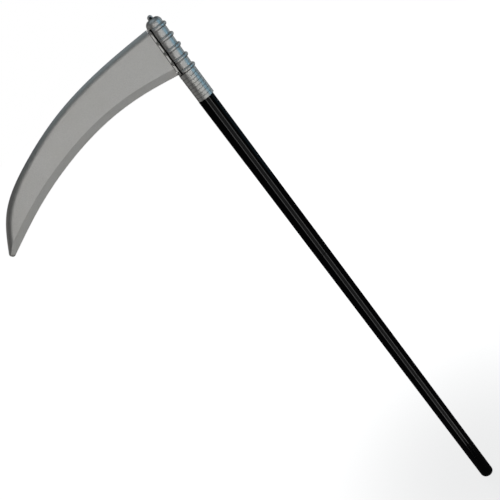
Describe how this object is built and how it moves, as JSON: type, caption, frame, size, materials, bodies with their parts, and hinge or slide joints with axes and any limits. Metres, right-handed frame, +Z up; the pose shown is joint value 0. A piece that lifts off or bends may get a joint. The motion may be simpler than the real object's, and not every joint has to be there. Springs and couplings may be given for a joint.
{
  "type": "costume scythe",
  "caption": "Costume scythe: curved hollow silver plastic blade on a ringed collar with a domed, ball-topped end, on a straight glossy black pole that pulls apart into sections.",
  "frame": {"origin": "centre of the flat end of the pole's butt", "axes": "+Z up the pole towards the head, -X along the blade's reach, Y across the blade's thickness"},
  "size_m": [0.3752, 0.0296, 1.0538],
  "materials": {
    "pole_black": "glossy",
    "plug_black": "satin",
    "head_silver": "satin silver",
    "blade_silver": "fine-grained satin silver"
  },
  "bodies": {
    "lower_section": {"lower_tube": "pole_black", "lower_spigot": "plug_black", "butt_cap": "plug_black"},
    "middle_section": {"middle_tube": "pole_black", "middle_spigot": "plug_black"},
    "upper_section": {"upper_tube": "pole_black", "head_spigot": "plug_black"},
    "head": {"collar": "head_silver", "finial_ball": "head_silver", "blade_front_shell": "blade_silver", "blade_back_shell": "blade_silver"}
  },
  "joints": [
    {"name": "middle_section_pull", "type": "slide", "parent": "lower_section", "child": "middle_section", "axis": [0, 0, 1], "range_m": [0, 0.046]},
    {"name": "upper_section_pull", "type": "slide", "parent": "middle_section", "child": "upper_section", "axis": [0, 0, 1], "range_m": [0, 0.046]},
    {"name": "head_pull", "type": "slide", "parent": "upper_section", "child": "head", "axis": [0, 0, 1], "range_m": [0, 0.046]}
  ]
}
